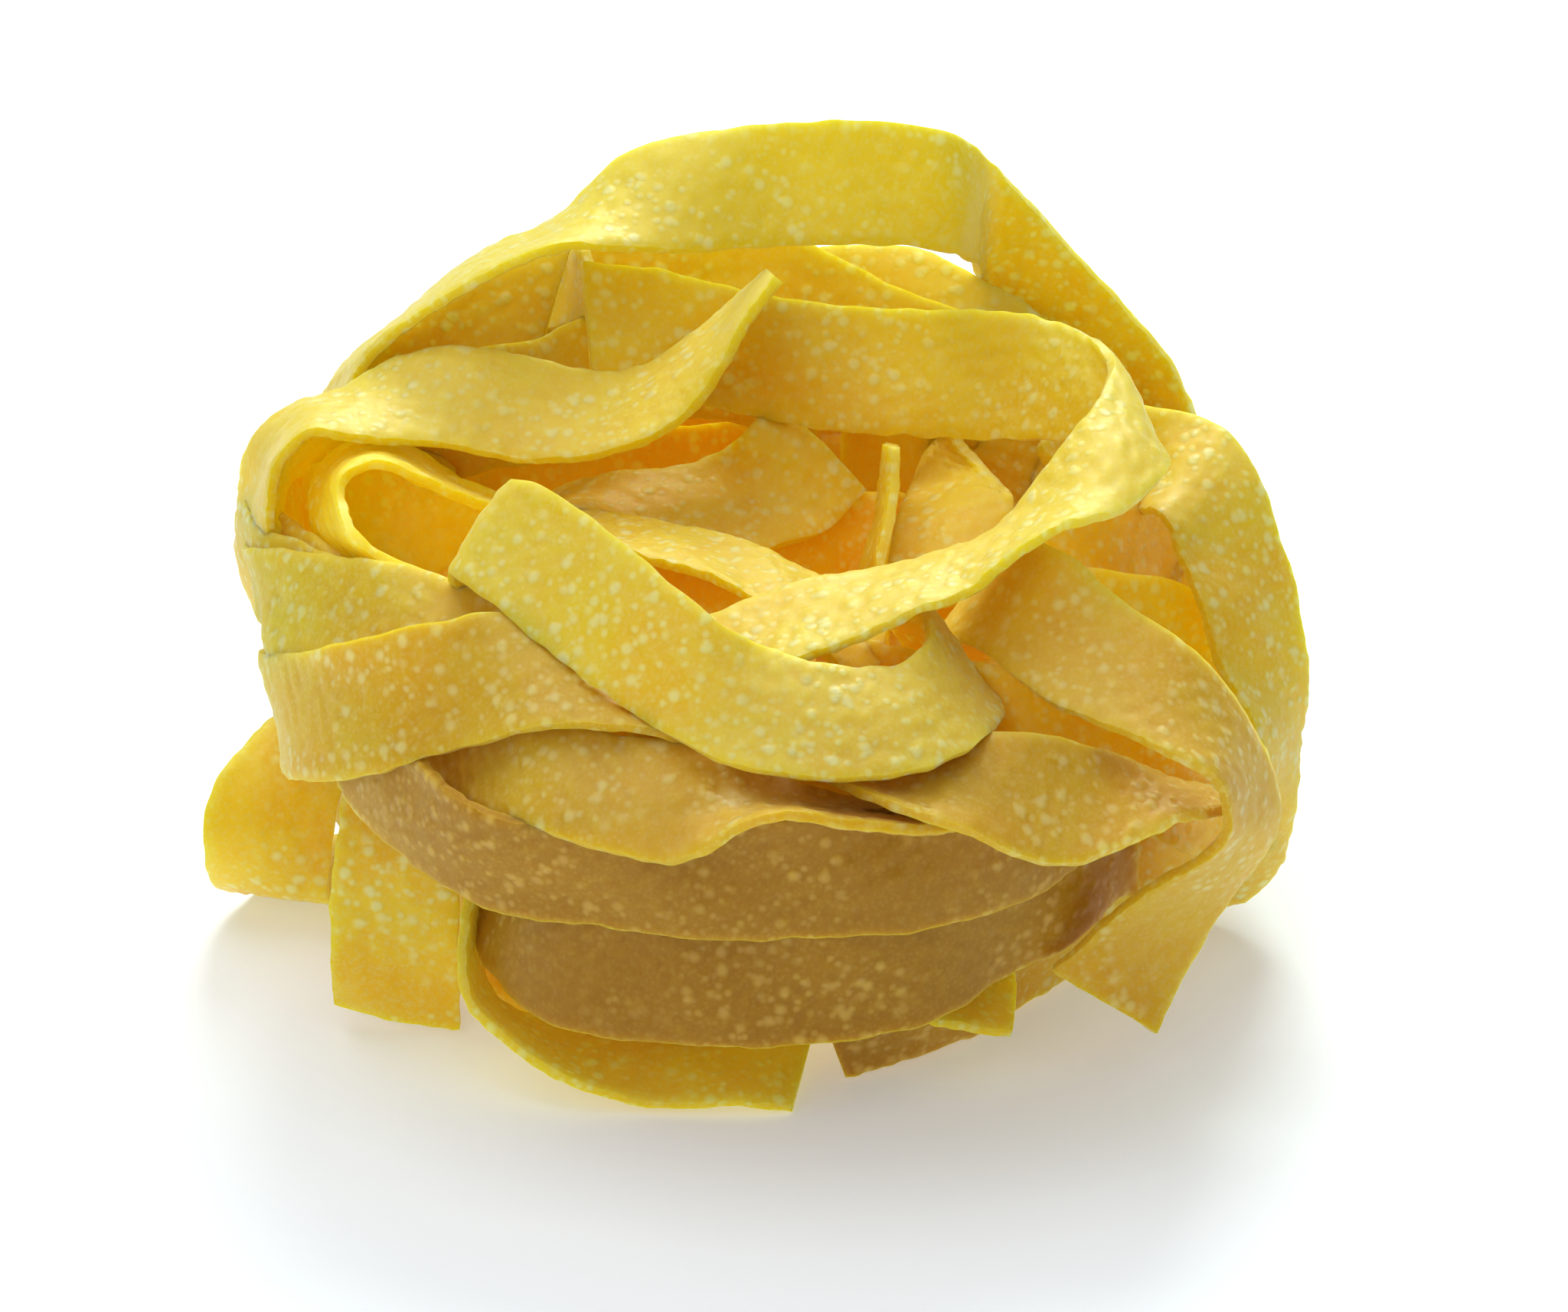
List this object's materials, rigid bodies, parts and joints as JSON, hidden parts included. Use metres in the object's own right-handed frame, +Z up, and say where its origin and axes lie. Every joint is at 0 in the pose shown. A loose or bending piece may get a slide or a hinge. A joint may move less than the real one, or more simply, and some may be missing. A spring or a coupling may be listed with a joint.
{
  "type": "dry pasta nest",
  "caption": "Nest of wide, flat egg-pasta ribbons wound and folded over one another and dried hard, open in the middle.",
  "frame": {"origin": "Middle of the nest's box seen from above, on the surface that the nest stands on.", "axes": "+Z is up; +X is to the right as pictured; -Y is the pictured front."},
  "size_m": [0.0702, 0.0672, 0.0492],
  "materials": {
    "egg_pasta": "dried egg pasta: golden yellow, half matt, slightly translucent, with pale round blisters"
  },
  "bodies": {
    "root": {"pasta_nest": "egg_pasta"}
  },
  "joints": []
}
